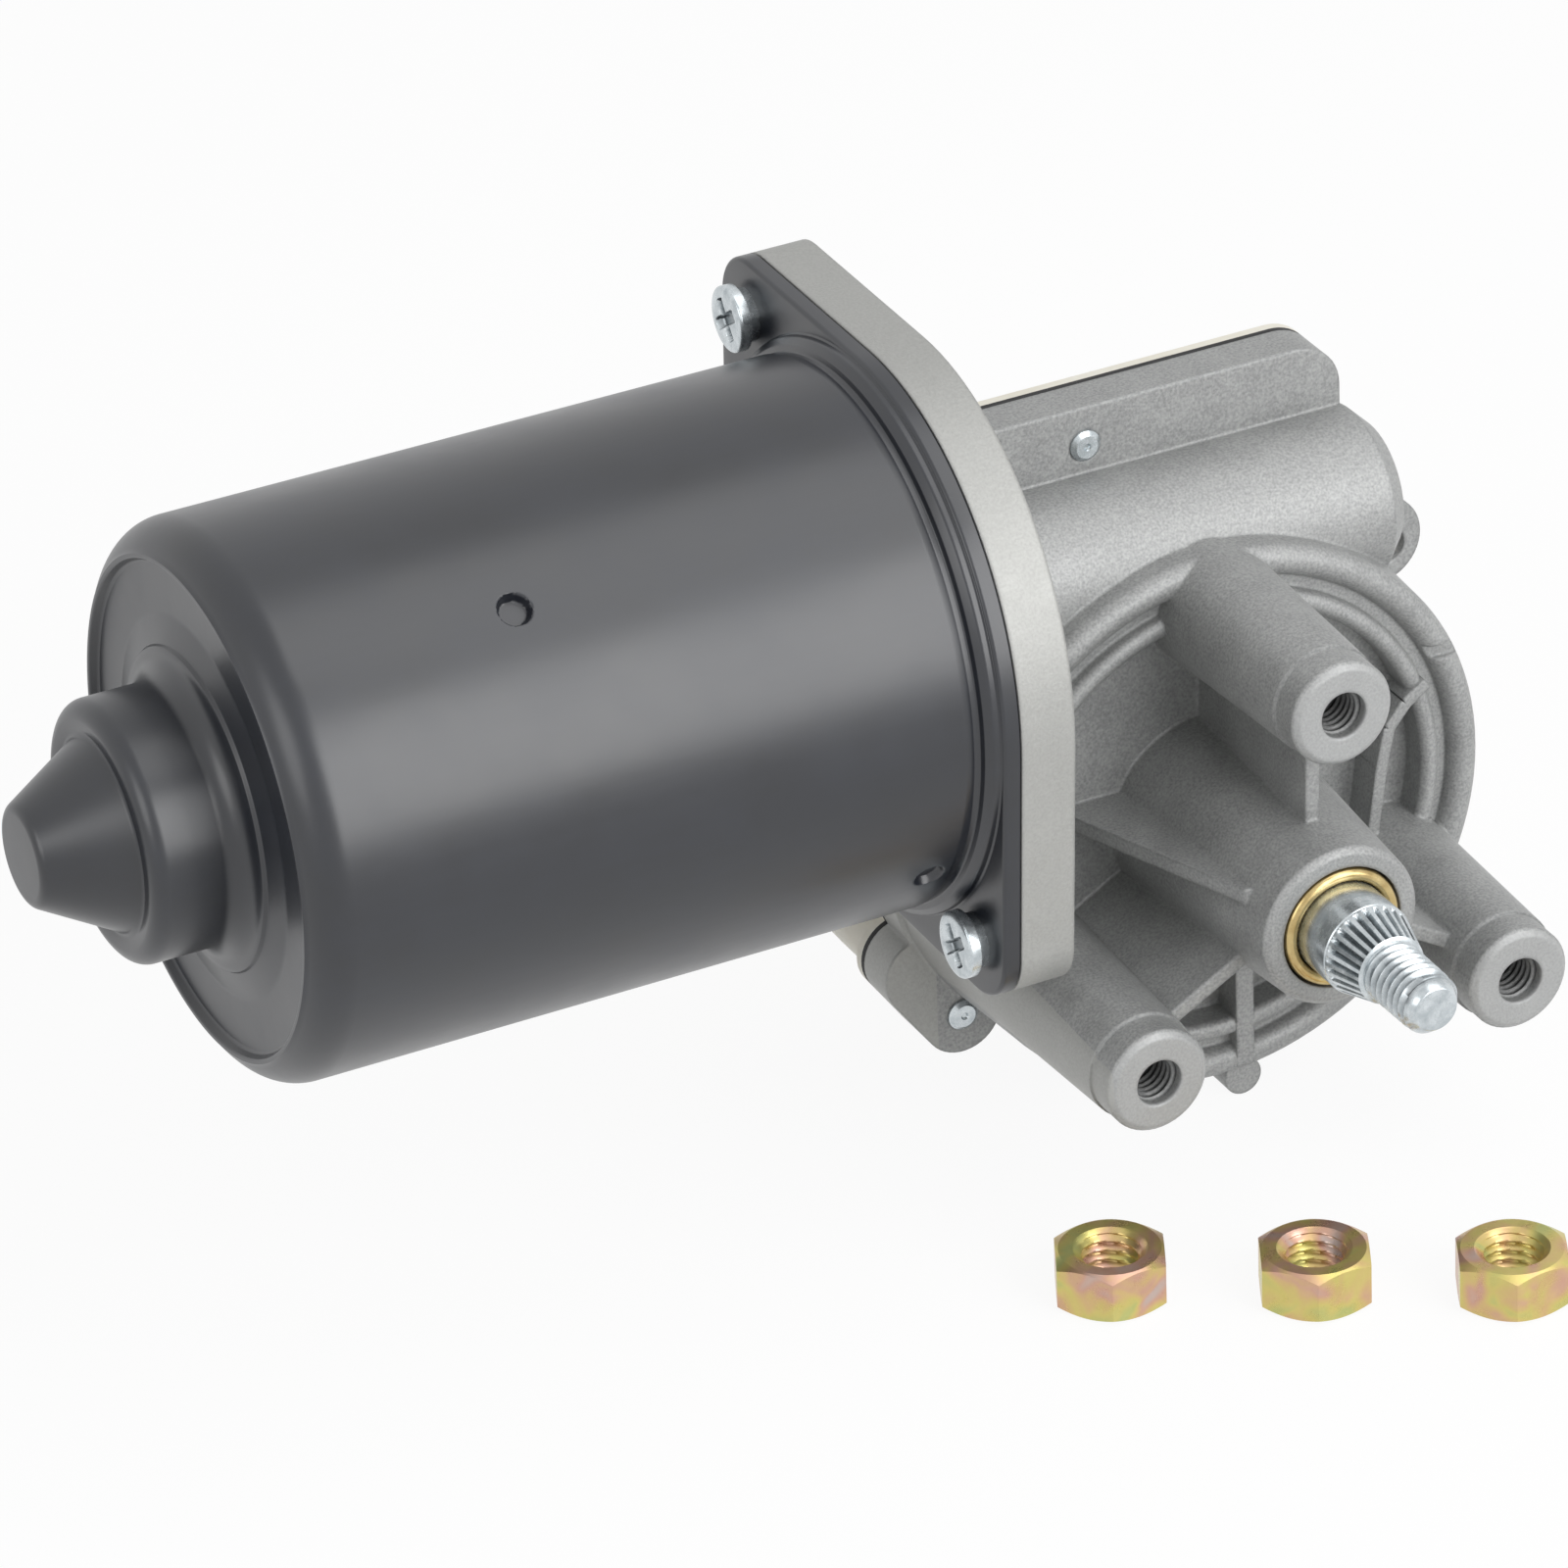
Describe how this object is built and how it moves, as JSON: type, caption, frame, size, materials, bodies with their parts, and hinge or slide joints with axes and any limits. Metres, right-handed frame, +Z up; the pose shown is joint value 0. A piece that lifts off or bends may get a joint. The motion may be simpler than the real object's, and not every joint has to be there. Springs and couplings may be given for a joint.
{
  "type": "wiper motor",
  "caption": "Windscreen wiper gear motor: a drawn steel motor can bolted to a die-cast worm gearbox with threaded mounting bosses around a knurled and threaded output shaft.",
  "frame": {"origin": "output-shaft axis in the plane of the threaded mounting boss faces", "axes": "+X along the armature toward the gearbox end (the motor can reaches to -X), -Y out along the output shaft, +Z up"},
  "size_m": [0.1868, 0.1127, 0.1076],
  "materials": {
    "black_paint": "satin black stoved paint on drawn steel",
    "cast_aluminium": "die-cast aluminium, lightly blasted",
    "zinc_plate": "bright zinc plate on steel",
    "yellow_zinc": "yellow passivated zinc on steel",
    "cream_cover": "cream moulded cover",
    "bearing_bronze": "oil-filled sintered bronze",
    "ferrite": "sintered ferrite magnet",
    "spring_steel": "spring steel",
    "ground_steel": "ground and hardened steel",
    "electrical_steel": "stacked electrical steel",
    "copper": "enamelled or drawn copper",
    "phenolic": "phenolic moulding",
    "carbon": "copper-graphite brush",
    "wheel_plastic": "acetal gear",
    "ferrite_core": "ferrite rod with winding",
    "capacitor_film": "coated film capacitor",
    "gasket_black": "black gasket",
    "seal_rubber": "nitrile shaft seal",
    "black_plastic": "glass-filled nylon",
    "contact_bronze": "phosphor bronze strip"
  },
  "bodies": {
    "base": {"motor_can": "black_paint", "magnet_rear": "ferrite", "magnet_front": "ferrite", "magnet_clip_upper": "spring_steel", "magnet_clip_lower": "spring_steel", "rear_bearing": "bearing_bronze", "rear_bearing_clamp": "spring_steel", "brush_plate": "phenolic", "suppression_choke_1": "ferrite_core", "suppression_choke_2": "ferrite_core", "suppression_capacitor": "capacitor_film", "gearbox_housing": "cast_aluminium", "front_bearing": "bearing_bronze", "worm_end_bush": "bearing_bronze", "end_play_adjuster": "zinc_plate", "front_bush": "bearing_bronze", "inner_bush": "bearing_bronze", "shaft_seal": "seal_rubber", "thrust_washer": "ground_steel", "cover_gasket": "gasket_black", "back_cover": "cream_cover", "flange_washers": "zinc_plate", "flange_screws": "zinc_plate", "cover_screws": "zinc_plate", "connector_socket": "black_plastic", "connector_pins": "contact_bronze", "contact_carrier": "black_plastic", "hex_nuts": "yellow_zinc", "brush_box_1": "contact_bronze", "brush_1": "carbon", "brush_spring_1": "spring_steel", "parking_contact_1": "contact_bronze", "brush_box_2": "contact_bronze", "brush_2": "carbon", "brush_spring_2": "spring_steel", "parking_contact_2": "contact_bronze", "brush_box_3": "contact_bronze", "brush_3": "carbon", "brush_spring_3": "spring_steel", "parking_contact_3": "contact_bronze"},
    "output": {"output_shaft": "zinc_plate", "worm_wheel": "wheel_plastic", "parking_disc": "contact_bronze", "retaining_ring": "spring_steel"},
    "armature": {"armature_shaft": "ground_steel", "lamination_stack": "electrical_steel", "windings": "copper", "commutator_body": "phenolic", "commutator_bars": "copper", "thrust_ball": "ground_steel"}
  },
  "joints": [
    {"name": "output_spin", "type": "hinge", "parent": "base", "child": "output", "pos_m": [0, 0, 0], "axis": [0, -1, 0], "continuous": true},
    {"name": "armature_spin", "type": "hinge", "parent": "base", "child": "armature", "pos_m": [0, 0.0435, 0.03175], "axis": [1, 0, 0], "continuous": true}
  ],
  "couplings": [
    {"joint": "armature_spin", "follows": "output_spin", "ratio": 55}
  ]
}
